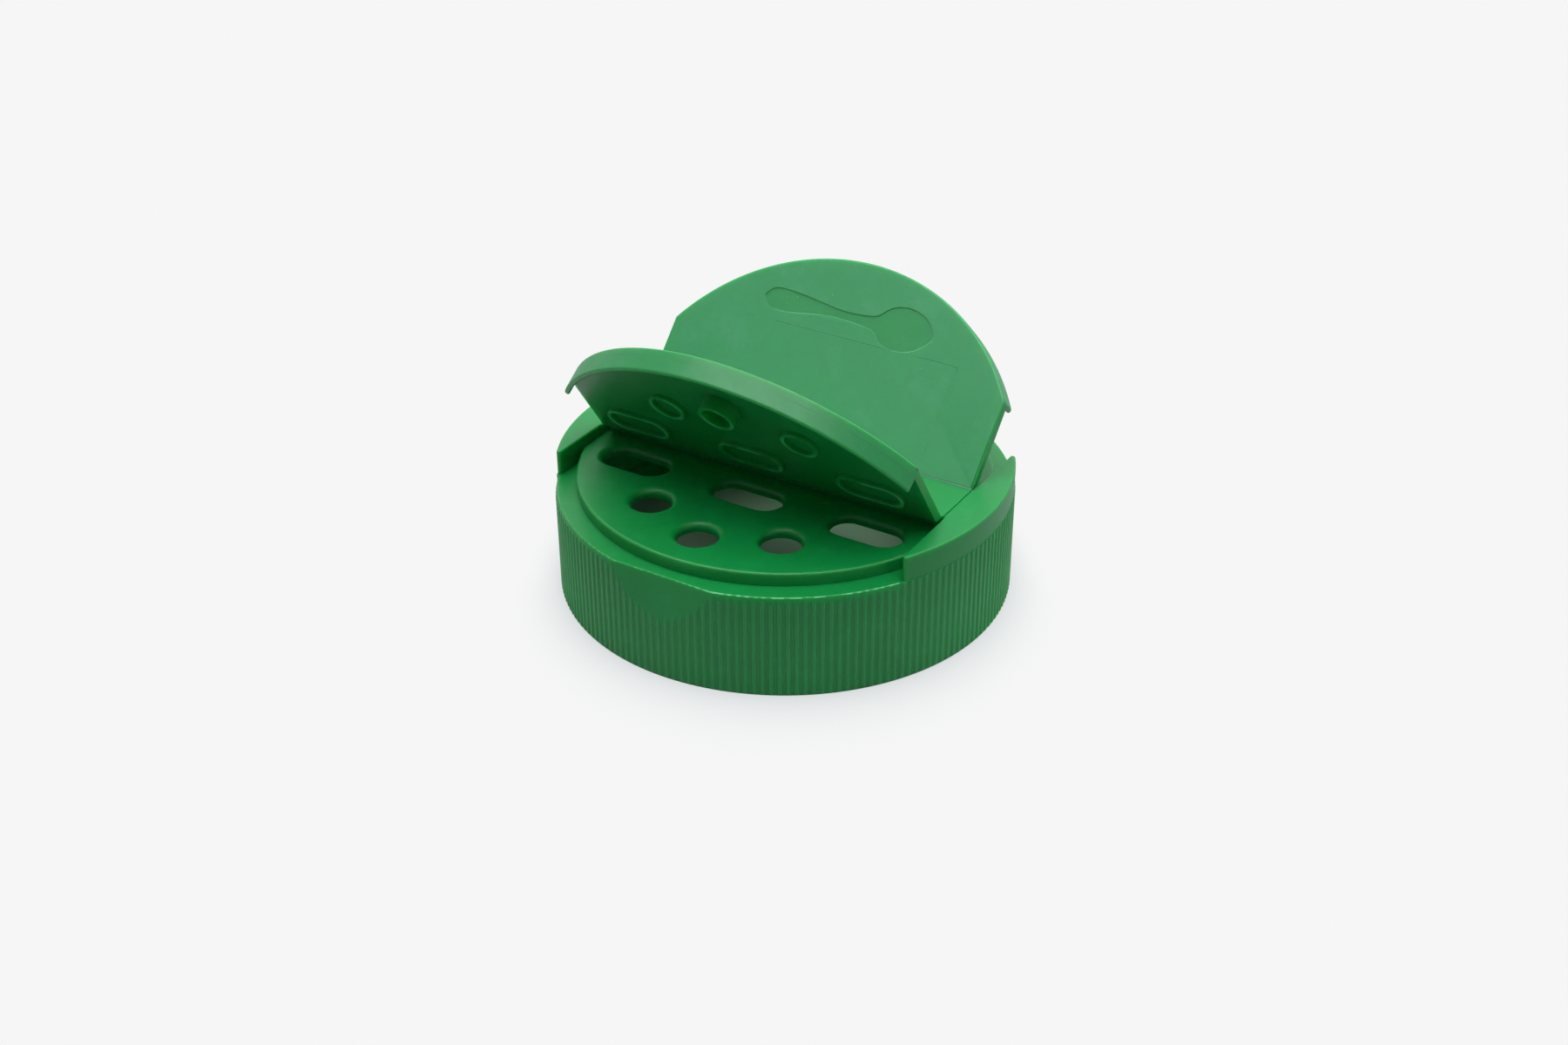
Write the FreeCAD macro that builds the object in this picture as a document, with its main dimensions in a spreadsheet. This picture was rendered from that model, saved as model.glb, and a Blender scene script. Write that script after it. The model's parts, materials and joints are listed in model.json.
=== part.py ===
"""Dual-flap shaker cap: a ribbed screw cap with a sifter flap in front and a spoon flap behind.

The frame has its origin at the centre of the bottom rim, +Z up, and +X along the two hinges.
The sifter flap opens over -Y and the spoon flap over +Y. Lengths are in millimetres.
"""
import FreeCAD, Part
import math
import os
import re

import Sketcher
from FreeCAD import Vector

# Driving dimensions, one cell of the sheet for each
DIMENSIONS = {
    "cap_height": 19.2,
    "ledge_level": 15.5,
    "deck_level": 17.4,
    "ceiling_level": 16.0,
    "land_level": 14.1,
    "bore_radius": 31.4,
    "root_radius": 32.9,
    "crest_radius": 33.08,
    "rib_count": 180,
    "rib_radius": 0.5,
    "rib_fade_height": 1.1,
    "rib_fade_depth": 0.12,
    "rib_fade_margin": 0.3,
    "rib_foot_height": 0.3,
    "rib_foot_depth": 0.05,
    "ledge_edge_radius": 0.15,
    "lead_in": 0.6,
    "pan_radius": 29.95,
    "pan_wall": 1.45,
    "pan_edge_radius": 0.35,
    "shoulder_radius": 32.95,
    "shoulder_chord": 27.95,
    "shoulder_corner_radius": 0.4,
    "shoulder_edge_radius": 0.3,
    "notch_depth": 1.25,
    "notch_height": 6.6,
    "hinge_offset": 4.4,
    "hinge_gap": 0.15,
    "bridge_root": 1.0,
    "bridge_core_half_length": 26.0,
    "bridge_core_half_width": 2.9,
    "bridge_core_level": 17.8,
    "score_width": 0.25,
    "score_depth": 0.4,
    "round_hole_radius": 2.95,
    "side_hole_x": 10.65,
    "side_hole_y": 18.5,
    "middle_hole_y": 23.0,
    "slot_half_width": 2.65,
    "slot_half_length": 5.4,
    "slot_x": 19.05,
    "slot_y": 10.1,
    "hole_edge_radius": 0.9,
    "window_near": 7.6,
    "window_radius": 25.6,
    "window_half_width": 23.0,
    "window_corner_radius": 2.5,
    "flap_radius": 32.9,
    "flap_half_width": 27.7,
    "flap_thickness": 1.5,
    "flap_edge_radius": 0.3,
    "hinge_web": 0.35,
    "hinge_bevel": 0.9,
    "lip_height": 3.6,
    "lip_wall": 0.8,
    "lip_end_radius": 0.35,
    "plug_clearance": 0.2,
    "plug_wall": 0.5,
    "plug_draft": 3.0,
    "plug_height": 0.6,
    "tall_plug_height": 2.1,
    "fence_clearance": 0.35,
    "fence_wall": 0.75,
    "fence_height": 1.1,
    "sifter_opening": 56.0,
    "spoon_opening": 46.5,
    "overrun": 0.5,
}

LEVEL_TOLERANCE = 1e-4
UPRIGHT_SLOPE = 0.1
ORIGIN = (-1, 1)
X_AXIS = -1
Y_AXIS = -2

doc = FreeCAD.newDocument("shaker_cap")
sheet = doc.addObject("Spreadsheet::Sheet", "Dims")
for row, (alias, number) in enumerate(DIMENSIONS.items(), 1):
    sheet.set(f"A{row}", alias)
    sheet.set(f"B{row}", str(number))
    sheet.setAlias(f"B{row}", alias)
doc.recompute()


# Expressions

def cells(text):
    """Write each dimension that an expression names as a reference to its cell."""
    return re.sub(r"[a-z_]+", lambda word: f"Dims.{word[0]}" if word[0] in DIMENSIONS else word[0], text)


def value(text):
    """The number that an expression over the dimensions has."""
    return float(doc.Dims.evalExpression(cells(text)))


def bind(thing, **expressions):
    """Tie properties of an object to expressions over the dimensions."""
    for name, text in expressions.items():
        thing.setExpression(name, cells(text))


# Sketches

def origin_feature(body, role):
    return next(feature for feature in body.Origin.OriginFeatures if feature.Role == role)


def sketch_on(body, name, role, level=None):
    """A sketch on one of the body's own origin planes, raised to a level along its normal."""
    sketch = body.newObject("Sketcher::SketchObject", name)
    sketch.AttachmentSupport = [(origin_feature(body, role), "")]
    sketch.MapMode = "FlatFace"
    if level:
        sketch.setExpression("AttachmentOffset.Base.z", cells(level))
    return sketch


def hold(sketch, kind, *places, text):
    """Add one driving constraint that follows an expression."""
    number = sketch.addConstraint(Sketcher.Constraint(kind, *places, value(text)))
    sketch.setExpression(f"Constraints[{number}]", cells(text))


def pin(sketch, geometry, point, x, y):
    """Hold a point of a sketch at x, y; a nought puts it on the axis itself."""
    for kind, text, axis in (("DistanceX", x, Y_AXIS), ("DistanceY", y, X_AXIS)):
        if text == "0":
            sketch.addConstraint(Sketcher.Constraint("PointOnObject", geometry, point, axis))
        else:
            hold(sketch, kind, *ORIGIN, geometry, point, text=text)


def join(sketch, pieces):
    """Close a loop of lines and arcs, each ending where the next one starts."""
    for piece, following in zip(pieces, pieces[1:] + pieces[:1]):
        sketch.addConstraint(Sketcher.Constraint("Coincident", piece, 2, following, 1))


def polygon(sketch, corners):
    """A closed outline of straight lines between corners given as pairs of expressions."""
    points = [Vector(value(x), value(y), 0) for x, y in corners]
    lines = [sketch.addGeometry(Part.LineSegment(here, there))
             for here, there in zip(points, points[1:] + points[:1])]
    join(sketch, lines)
    for line, (x, y) in zip(lines, corners):
        pin(sketch, line, 1, x, y)


def circle(sketch, x, y, radius):
    """A circle about x, y."""
    round_line = Part.Circle(Vector(value(x), value(y), 0), Vector(0, 0, 1), value(radius))
    number = sketch.addGeometry(round_line)
    pin(sketch, number, 3, x, y)
    hold(sketch, "Radius", number, text=radius)


def arc(sketch, centre_y, radius, start, end):
    """An arc about a centre on the sketch's upright axis, between two angles in radians."""
    round_line = Part.Circle(Vector(0, value(centre_y), 0), Vector(0, 0, 1), value(radius))
    number = sketch.addGeometry(Part.ArcOfCircle(round_line, start, end))
    pin(sketch, number, 3, "0", centre_y)
    hold(sketch, "Radius", number, text=radius)
    return number


def slot(sketch, x, y, half_length, half_width):
    """A slot with round ends, its length along the sketch's level axis."""
    reach = f"({half_length} - {half_width})"
    ends = []
    for side, first in (("+", -math.pi / 2), ("-", math.pi / 2)):
        centre_x = f"{x} {side} {reach}"
        round_line = Part.Circle(Vector(value(centre_x), value(y), 0), Vector(0, 0, 1), value(half_width))
        number = sketch.addGeometry(Part.ArcOfCircle(round_line, first, first + math.pi))
        pin(sketch, number, 3, centre_x, y)
        ends.append(number)
    right, left = ends
    rise = Vector(0, value(half_width), 0)
    centres = [sketch.Geometry[number].Center for number in ends]
    upper = sketch.addGeometry(Part.LineSegment(centres[0] + rise, centres[1] + rise))
    lower = sketch.addGeometry(Part.LineSegment(centres[1] - rise, centres[0] - rise))
    loop = (right, upper, left, lower)
    for piece, following in zip(loop, loop[1:] + loop[:1]):
        sketch.addConstraint(Sketcher.Constraint("Tangent", piece, 2, following, 1))
    hold(sketch, "Radius", right, text=half_width)
    sketch.addConstraint(Sketcher.Constraint("Equal", right, left))


def half_moon(sketch, half_width, near, radius, centre_y):
    """A half-moon: a straight near side, two straight flanks and a round far side."""
    wide, close, far_radius, middle = (value(text) for text in (half_width, near, radius, centre_y))
    reach = math.acos(wide / far_radius)
    shoulder = middle + far_radius * math.sin(reach)
    far = arc(sketch, centre_y, radius, reach, math.pi - reach)
    left = sketch.addGeometry(Part.LineSegment(Vector(-wide, shoulder, 0), Vector(-wide, close, 0)))
    straight = sketch.addGeometry(Part.LineSegment(Vector(-wide, close, 0), Vector(wide, close, 0)))
    right = sketch.addGeometry(Part.LineSegment(Vector(wide, close, 0), Vector(wide, shoulder, 0)))
    join(sketch, [far, left, straight, right])
    pin(sketch, straight, 1, f"-({half_width})", near)
    pin(sketch, straight, 2, half_width, near)
    for line in (left, right):
        sketch.addConstraint(Sketcher.Constraint("Vertical", line))


def crescent(sketch, chord, radius, side, corner):
    """The piece that an upright chord cuts from a circle about the origin, its two corners rounded."""
    turn = math.pi if side else 0
    distance, far_radius, small = (value(text) for text in (chord, radius, corner))
    rise = math.sqrt((far_radius - small) ** 2 - (distance + small) ** 2)
    reach = math.atan2(rise, distance + small)

    def add_arc(x, y, arc_radius, first, last):
        centre = Vector(x * math.cos(turn), y * math.cos(turn), 0)
        round_line = Part.Circle(centre, Vector(0, 0, 1), arc_radius)
        return sketch.addGeometry(Part.ArcOfCircle(round_line, turn + first, turn + last))

    rim = add_arc(0, 0, far_radius, -reach, reach)
    upper = add_arc(distance + small, rise, small, reach, math.pi)
    ends = [Vector(distance * math.cos(turn), y * math.cos(turn), 0) for y in (rise, -rise)]
    line = sketch.addGeometry(Part.LineSegment(*ends))
    lower = add_arc(distance + small, -rise, small, math.pi, 2 * math.pi - reach)
    loop = (rim, upper, line, lower)
    for piece, following in zip(loop, loop[1:] + loop[:1]):
        sketch.addConstraint(Sketcher.Constraint("Tangent", piece, 2, following, 1))
    pin(sketch, rim, 3, "0", "0")
    hold(sketch, "Radius", rim, text=radius)
    hold(sketch, "Radius", upper, text=corner)
    sketch.addConstraint(Sketcher.Constraint("Equal", upper, lower))
    sketch.addConstraint(Sketcher.Constraint("Vertical", line))
    hold(sketch, "DistanceX", *ORIGIN, line, 1, text=f"{side}{chord}")


# Features

def add(body, kind, name, **properties):
    """Add a feature to a body and make it the body's tip."""
    feature = body.newObject(f"PartDesign::{kind}", name)
    for key, setting in properties.items():
        setattr(feature, key, setting)
    body.Tip = feature
    return feature


def pad(body, name, sketch, length, **properties):
    """Extrude a sketch, upward unless it is reversed."""
    feature = add(body, "Pad", name, Profile=sketch, **properties)
    bind(feature, Length=length)
    return feature


def pocket(body, name, sketch, length, **properties):
    """Cut a sketch away, downward unless it is reversed."""
    feature = add(body, "Pocket", name, Profile=sketch, **properties)
    bind(feature, Length=length)
    return feature


def mid_point(edge):
    return edge.valueAt((edge.FirstParameter + edge.LastParameter) / 2)


def edges(shape, test):
    """The names of the edges that a test on the edge and its middle accepts."""
    return [f"Edge{number}" for number, edge in enumerate(shape.Edges, 1) if test(edge, mid_point(edge))]


def is_level(edge, height):
    """Whether an edge lies in one level plane."""
    box = edge.BoundBox
    return abs(box.ZMin - height) < LEVEL_TOLERANCE and abs(box.ZMax - height) < LEVEL_TOLERANCE


def is_upright(edge):
    """Whether an edge is upright, or leans no more than a draft angle."""
    box = edge.BoundBox
    return max(box.XLength, box.YLength) < UPRIGHT_SLOPE * box.ZLength


def round_over(body, name, radius, test):
    """Round the edges of the body's tip that a test accepts."""
    doc.recompute()
    base = body.Tip
    names = edges(base.Shape, test)
    feature = add(body, "Fillet", name, Base=(base, names))
    bind(feature, Radius=radius)
    return feature


# The cap body

SIFTER_HOLES = (("-side_hole_x", "side_hole_y"), ("0", "middle_hole_y"), ("side_hole_x", "side_hole_y"))
SIFTER_SLOTS = ("-slot_x", "0", "slot_x")


def add_shell(body):
    """The turned form: skirt, ledge, raised deck pan, ceiling, sealing land and thread lead-in."""
    section = sketch_on(body, "shell_section", "XZ_Plane")
    polygon(section, [
        ("bore_radius + lead_in", "0"),
        ("root_radius", "0"),
        ("root_radius", "ledge_level"),
        ("pan_radius", "ledge_level"),
        ("pan_radius", "deck_level"),
        ("0", "deck_level"),
        ("0", "ceiling_level"),
        ("pan_radius - pan_wall", "ceiling_level"),
        ("pan_radius - pan_wall", "land_level"),
        ("bore_radius", "land_level"),
        ("bore_radius", "lead_in"),
    ])
    add(body, "Revolution", "shell", Profile=section, ReferenceAxis=(section, ["V_Axis"]), Angle=360)


def add_shoulders_and_bridge(body):
    """Two raised side segments, and the bar between the hinge lines that joins them."""
    shoulders = sketch_on(body, "shoulder_outline", "XY_Plane", "ledge_level")
    for side in ("", "-"):
        crescent(shoulders, "shoulder_chord", "shoulder_radius", side, "shoulder_corner_radius")
    pad(body, "shoulders", shoulders, "cap_height - ledge_level")
    round_over(body, "shoulder_edges", "shoulder_edge_radius",
               lambda edge, middle: is_level(edge, value("cap_height")))
    bridge = sketch_on(body, "bridge_outline", "XY_Plane", "deck_level")
    half = "(shoulder_chord + bridge_root)"
    side = "(hinge_offset - hinge_gap)"
    polygon(bridge, [(f"-{half}", f"-{side}"), (half, f"-{side}"), (half, side), (f"-{half}", side)])
    pad(body, "bridge", bridge, "cap_height - deck_level")


def cut_hinge_scores(body):
    """The fine score across each end of the bridge, in line with the flaps' side gaps."""
    scores = sketch_on(body, "score_outline", "XY_Plane", "cap_height")
    inner, outer = "(shoulder_chord - score_width)", "shoulder_chord"
    side = "(hinge_offset - hinge_gap + overrun)"
    for sign in ("", "-"):
        polygon(scores, [(f"{sign}{inner}", f"-{side}"), (f"{sign}{outer}", f"-{side}"),
                         (f"{sign}{outer}", side), (f"{sign}{inner}", side)])
    pocket(body, "hinge_scores", scores, "score_depth")


def cut_bridge_core(body):
    """The channel under the bridge, which keeps its wall as thin as the deck's."""
    channel = sketch_on(body, "bridge_core_outline", "XY_Plane", "ceiling_level")
    long, wide = "bridge_core_half_length", "bridge_core_half_width"
    polygon(channel, [(f"-{long}", f"-{wide}"), (long, f"-{wide}"), (long, wide), (f"-{long}", wide)])
    pocket(body, "bridge_core", channel, "bridge_core_level - ceiling_level", Reversed=True)


def cut_sifter_holes(body):
    """Three round holes and three slots in the front half, their upper edges well rounded."""
    holes = sketch_on(body, "sifter_hole_outline", "XY_Plane", "deck_level")
    for x, y in SIFTER_HOLES:
        circle(holes, x, f"-{y}", "round_hole_radius")
    for x in SIFTER_SLOTS:
        slot(holes, x, "-slot_y", "slot_half_length", "slot_half_width")
    pocket(body, "sifter_holes", holes, "deck_level - ceiling_level + overrun")


def cut_spoon_window(body):
    """The half-moon opening in the rear half that a measuring spoon goes through."""
    window = sketch_on(body, "window_outline", "XY_Plane", "deck_level")
    half_moon(window, "window_half_width", "window_near", "window_radius", "0")
    pocket(body, "spoon_window", window, "deck_level - ceiling_level + overrun")
    round_over(body, "window_corners", "window_corner_radius", is_window_corner)


def is_window_corner(edge, middle):
    """The four upright edges of the spoon window."""
    wide = abs(abs(middle.x) - value("window_half_width")) < LEVEL_TOLERANCE
    return is_upright(edge) and wide and middle.y > 0


def is_deck_hole_edge(edge, middle):
    """An upper edge of a hole, away from the bridge and inside the pan's rim."""
    clear_of_bridge = abs(middle.y) > value("hinge_offset + overrun")
    inside_rim = math.hypot(middle.x, middle.y) < value("pan_radius - pan_wall")
    return is_level(edge, value("deck_level")) and clear_of_bridge and inside_rim


def is_pan_rim(edge, middle):
    """The upper edges of the pan's round wall, in front and behind."""
    on_rim = abs(math.hypot(middle.x, middle.y) - value("pan_radius")) < LEVEL_TOLERANCE
    return is_level(edge, value("deck_level")) and on_rim


def is_ledge_edge(edge, middle):
    """The ledge's outer edge in front and behind, and the notches' upper edges."""
    outer = math.hypot(middle.x, middle.y) > value("pan_radius + lip_wall")
    return is_level(edge, value("ledge_level")) and outer and abs(middle.x) < value("shoulder_chord")


def add_ribs(body):
    """Fine upright gripping ribs all round the skirt, each a round rod sunk into the wall."""
    section = sketch_on(body, "rib_section", "XY_Plane")
    circle(section, "crest_radius - rib_radius", "0", "rib_radius")
    rib = pad(body, "rib", section, "ledge_level")
    doc.recompute()
    ribs = add(body, "PolarPattern", "ribs", Originals=[rib],
               Axis=(origin_feature(body, "Z_Axis"), [""]), Angle=360)
    bind(ribs, Occurrences="rib_count")
    fade_ribs(body)


def fade_ribs(body):
    """Turn the rib tops down to the ledge's edge in front and behind, and their feet all round."""
    outside = "(crest_radius + overrun)"
    inside = "(root_radius - rib_fade_depth)"
    above = "(ledge_level + overrun)"
    below = "(ledge_level - rib_fade_height)"
    for name, sign in (("front", "-"), ("rear", "")):
        fade = sketch_on(body, f"{name}_rib_fade_section", "YZ_Plane")
        polygon(fade, [(f"{sign}{inside}", "ledge_level"), (f"{sign}crest_radius", below),
                       (f"{sign}{outside}", below), (f"{sign}{outside}", above), (f"{sign}{inside}", above)])
        groove = add(body, "Groove", f"{name}_rib_fade", Profile=fade, ReferenceAxis=(fade, ["V_Axis"]),
                     Midplane=True)
        bind(groove, Angle="2 * asin((shoulder_chord + rib_fade_margin) / shoulder_radius)")
    inside = "(root_radius - rib_foot_depth)"
    foot = sketch_on(body, "rib_foot_section", "XZ_Plane")
    polygon(foot, [(inside, "0"), ("crest_radius + rib_foot_depth", "rib_foot_height"),
                   (outside, "rib_foot_height"), (outside, "-overrun"), (inside, "-overrun")])
    add(body, "Groove", "rib_feet", Profile=foot, ReferenceAxis=(foot, ["V_Axis"]), Angle=360)


def cut_finger_notches(body):
    """A sloping flat under each flap's lip, which cuts a rounded V out of the ribs."""
    slope = "(notch_depth / notch_height)"
    above = "(ledge_level + overrun)"
    below = "(ledge_level - notch_height - overrun)"
    for name, sign in (("front_notch", "-"), ("rear_notch", "")):
        flat = sketch_on(body, f"{name}_section", "YZ_Plane")
        inner = f"{sign}(crest_radius - notch_depth - {slope} * overrun)"
        lower = f"{sign}(crest_radius + {slope} * overrun)"
        outside = f"{sign}(crest_radius + 2 * overrun)"
        polygon(flat, [(inner, above), (lower, below), (outside, below), (outside, above)])
        pocket(body, name, flat, "crest_radius", SideType="Symmetric")


def make_cap_body():
    """The screw cap with its deck, shoulders and bridge, moulded in one."""
    body = doc.addObject("PartDesign::Body", "cap_body")
    body.Label = "cap_body"
    add_shell(body)
    add_shoulders_and_bridge(body)
    cut_hinge_scores(body)
    cut_bridge_core(body)
    round_over(body, "pan_rim", "pan_edge_radius", is_pan_rim)
    cut_sifter_holes(body)
    cut_spoon_window(body)
    round_over(body, "hole_edges", "hole_edge_radius", is_deck_hole_edge)
    add_ribs(body)
    cut_finger_notches(body)
    round_over(body, "ledge_edges", "ledge_edge_radius", is_ledge_edge)
    return body


# The two flaps, each drawn shut with its hinge along the local X axis

def add_plate(body):
    """The flat plate with its bevelled hinge edge."""
    outline = sketch_on(body, "plate_outline", "XY_Plane")
    half_moon(outline, "flap_half_width", "hinge_gap", "flap_radius", "-hinge_offset")
    pad(body, "plate", outline, "flap_thickness", Reversed=True)
    bevel = sketch_on(body, "hinge_bevel_section", "YZ_Plane")
    below = "-(flap_thickness + overrun)"
    polygon(bevel, [("0", "-hinge_web"), ("hinge_gap + hinge_bevel", "-flap_thickness"),
                    ("hinge_gap + hinge_bevel", below), ("0", below)])
    pocket(body, "hinge_bevel", bevel, "2 * (flap_half_width + overrun)", SideType="Symmetric")


def add_lip(body):
    """The lip that hangs from the plate's round edge and rests on the cap's ledge."""
    outline = sketch_on(body, "lip_outline", "XY_Plane")
    walls = []
    for radius in ("flap_radius", "flap_radius - lip_wall"):
        reach = math.acos(value(f"flap_half_width / ({radius})"))
        walls.append(arc(outline, "-hinge_offset", radius, reach, math.pi - reach))
    outer, inner = walls
    for end, sign in ((1, ""), (2, "-")):
        line = outline.addGeometry(Part.LineSegment(*(outline.getPoint(wall, end) for wall in walls)))
        outline.addConstraint(Sketcher.Constraint("Coincident", outer, end, line, 1))
        outline.addConstraint(Sketcher.Constraint("Coincident", line, 2, inner, end))
        outline.addConstraint(Sketcher.Constraint("Vertical", line))
        hold(outline, "DistanceX", *ORIGIN, line, 1, text=f"{sign}flap_half_width")
    pad(body, "lip", outline, "lip_height", Reversed=True)


def finish_edges(body):
    """Round the lip's ends and lower edge and the plate's upper edge."""
    round_over(body, "lip_ends", "lip_end_radius",
               lambda edge, middle: is_upright(edge) and middle.z < -value("flap_thickness"))
    round_over(body, "lip_rim", "flap_edge_radius",
               lambda edge, middle: is_level(edge, -value("lip_height")))
    round_over(body, "plate_edges", "flap_edge_radius",
               lambda edge, middle: is_level(edge, 0) and middle.y > value("hinge_gap + hinge_bevel"))


def make_flap(name, turn, opening):
    """A flap's plate, lip and placement."""
    body = doc.addObject("PartDesign::Body", name)
    body.Label = name
    add_plate(body)
    add_lip(body)
    finish_edges(body)
    hinge = "vector(0; {}hinge_offset; cap_height)".format("-" if turn else "")
    body.setExpression("Placement", cells(f"placement({hinge}; rotation({turn}; 0; {opening}))"))
    return body


def add_ring_plug(body, name, draw, height):
    """A drafted ring under the plate that enters an opening of the deck."""
    ring = sketch_on(body, f"{name}_outline", "XY_Plane", "-flap_thickness")
    draw(ring)
    plug = pad(body, name, ring, height, Reversed=True)
    bind(plug, TaperAngle="-plug_draft")


def make_sifter_flap():
    """The front flap, with a ring for every sifter hole; the middle one reaches through the deck."""
    body = make_flap("sifter_flap", 180, "sifter_opening")
    insets = ("plug_clearance", "(plug_clearance + plug_wall)")

    def draw_rounds(ring, places):
        for x, y in places:
            for inset in insets:
                circle(ring, x, f"{y} - hinge_offset", f"(round_hole_radius - {inset})")

    def draw_slots(ring):
        for x in SIFTER_SLOTS:
            for inset in insets:
                slot(ring, x, "slot_y - hinge_offset", f"(slot_half_length - {inset})",
                     f"(slot_half_width - {inset})")

    left, middle, right = SIFTER_HOLES
    for name, draw, height in (
            ("slot_plugs", draw_slots, "plug_height"),
            ("side_plugs", lambda ring: draw_rounds(ring, (left, right)), "plug_height"),
            ("middle_plug", lambda ring: draw_rounds(ring, (middle,)), "tall_plug_height")):
        add_ring_plug(body, name, draw, height)
    return body


def make_spoon_flap():
    """The rear flap, with a low fence that enters the spoon window."""
    body = make_flap("spoon_flap", 0, "spoon_opening")
    insets = ("fence_clearance", "(fence_clearance + fence_wall)")

    def draw_fence(ring):
        for inset in insets:
            half_moon(ring, f"(window_half_width - {inset})", f"window_near - hinge_offset + {inset}",
                      f"(window_radius - {inset})", "-hinge_offset")

    add_ring_plug(body, "window_fence", draw_fence, "fence_height")
    reach = value("fence_wall / 2")
    for name, inset in zip(("outer_fence_corners", "inner_fence_corners"), insets):
        wall = value(f"window_half_width - {inset}")
        round_over(body, name, f"window_corner_radius - {inset}",
                   lambda edge, middle: is_upright(edge) and abs(abs(middle.x) - wall) < reach)
    return body


# Build, test and write

def check(bodies):
    """Stop if any object failed or any sub-part has no sound solid."""
    for thing in doc.Objects:
        if "Invalid" in thing.State or "Error" in thing.State:
            raise RuntimeError(f"{thing.Name} failed: {thing.State}")
    for body in bodies:
        if body.Shape.isNull() or not body.Shape.isValid() or len(body.Shape.Solids) != 1:
            raise RuntimeError(f"{body.Label} is not one valid solid")


def main():
    bodies = [make_cap_body(), make_sifter_flap(), make_spoon_flap()]
    doc.recompute()
    check(bodies)
    os.makedirs("parts", exist_ok=True)
    for body in bodies:
        body.Shape.exportStep(f"parts/{body.Label}.step")
        print(body.Label, "volume", round(body.Shape.Volume, 1), "faces", len(body.Shape.Faces))


main()
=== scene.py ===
"""Dresses the dual-flap shaker cap and sets it on a pale floor, seen as in the photograph.

The cap stands on its bottom rim at the origin, +Z up, with both hinge lines along X. The sifter
flap opens over -Y and the spoon flap over +Y. Lengths are written in millimetres and used in metres.
"""
import json
import logging
import math
from contextlib import contextmanager
from dataclasses import dataclass, field
from enum import Enum
from typing import Callable, Iterator, Sequence, Union

import bmesh
import bpy
from mathutils import Matrix, Vector

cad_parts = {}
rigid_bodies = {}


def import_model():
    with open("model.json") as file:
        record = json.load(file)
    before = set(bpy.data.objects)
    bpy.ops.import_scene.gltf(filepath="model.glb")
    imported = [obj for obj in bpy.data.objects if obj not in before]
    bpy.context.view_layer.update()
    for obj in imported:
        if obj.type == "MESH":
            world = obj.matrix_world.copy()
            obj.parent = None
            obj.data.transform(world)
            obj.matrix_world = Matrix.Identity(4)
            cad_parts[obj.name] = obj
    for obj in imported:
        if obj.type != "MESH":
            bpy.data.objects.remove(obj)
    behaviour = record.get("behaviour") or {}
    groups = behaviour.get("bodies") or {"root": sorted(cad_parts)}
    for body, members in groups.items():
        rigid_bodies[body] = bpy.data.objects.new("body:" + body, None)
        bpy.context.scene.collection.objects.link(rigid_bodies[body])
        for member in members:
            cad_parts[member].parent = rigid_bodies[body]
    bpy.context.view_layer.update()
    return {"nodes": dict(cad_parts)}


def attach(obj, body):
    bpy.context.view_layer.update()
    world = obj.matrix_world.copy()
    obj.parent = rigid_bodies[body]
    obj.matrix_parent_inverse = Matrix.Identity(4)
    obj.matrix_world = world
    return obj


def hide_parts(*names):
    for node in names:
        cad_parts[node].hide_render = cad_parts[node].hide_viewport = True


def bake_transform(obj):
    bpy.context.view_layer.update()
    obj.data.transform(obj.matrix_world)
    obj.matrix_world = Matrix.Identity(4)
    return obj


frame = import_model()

LOG = logging.getLogger("shaker_cap")
MM = 0.001
PICTURE_WIDTH = 1800
# How near, in millimetres, a vertex lies to the place that is sought
NEAR = 0.01
# Where a colour mix keeps its factor and two colours, and where its result
MIX_INPUTS = (0, 6, 7)
MIX_RESULT = 2

Colour = tuple[float, float, float]
Socket = bpy.types.NodeSocket
Feed = Union[Socket, float, Sequence[float]]


def metres(*lengths: float) -> tuple[float, ...]:
    """Turn lengths in millimetres into metres."""
    return tuple(length * MM for length in lengths)


class Portion(Enum):
    """The three rigid portions of the moulding: the CAD node's name and the body it moves with."""

    CAP = ("cap_body", "cap")
    SIFTER = ("sifter_flap", "sifter")
    SPOON = ("spoon_flap", "spoon")

    @property
    def node(self) -> str:
        """The name of the CAD node, which is also its material slot."""
        return self.value[0]

    @property
    def body(self) -> str:
        """The name of the body that carries it."""
        return self.value[1]


@dataclass(frozen=True)
class Hinge:
    """One living hinge: which side of the bar it is on and how far its flap stands open."""

    side: int
    opening: float
    offset: float = 4.4
    level: float = 19.2

    @property
    def axis_point(self) -> Vector:
        """The middle of the hinge line, in metres."""
        return Vector((0, self.side * self.offset, self.level)) * MM

    def placement(self) -> Matrix:
        """The place of the opened flap.

        Returns:
            A matrix from the shut flap's own frame (X along the hinge, Y away from it, Z up) to
            the cap's frame.
        """
        turn = Matrix.Rotation(0 if self.side > 0 else math.pi, 4, "Z")
        lift = Matrix.Rotation(math.radians(self.opening), 4, "X")
        return Matrix.Translation(self.axis_point) @ turn @ lift


FRONT_HINGE = Hinge(side=-1, opening=56.0)
REAR_HINGE = Hinge(side=1, opening=46.5)


# Modelling by hand


def clear_selection() -> None:
    """Deselect every object."""
    for item in bpy.context.view_layer.objects:
        item.select_set(False)


def take(piece: bpy.types.Object) -> None:
    """Make one object the only selected and active one.

    Args:
        piece: The object to work on.
    """
    clear_selection()
    piece.select_set(True)
    bpy.context.view_layer.objects.active = piece


@contextmanager
def editing(piece: bpy.types.Object) -> Iterator[None]:
    """Work on one mesh in edit mode, with nothing of it selected at first.

    Args:
        piece: The mesh object to edit.

    Yields:
        Nothing.
    """
    take(piece)
    bpy.ops.object.mode_set(mode="EDIT")
    bpy.ops.mesh.select_all(action="DESELECT")
    try:
        yield
    finally:
        bpy.ops.object.mode_set(mode="OBJECT")


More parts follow.
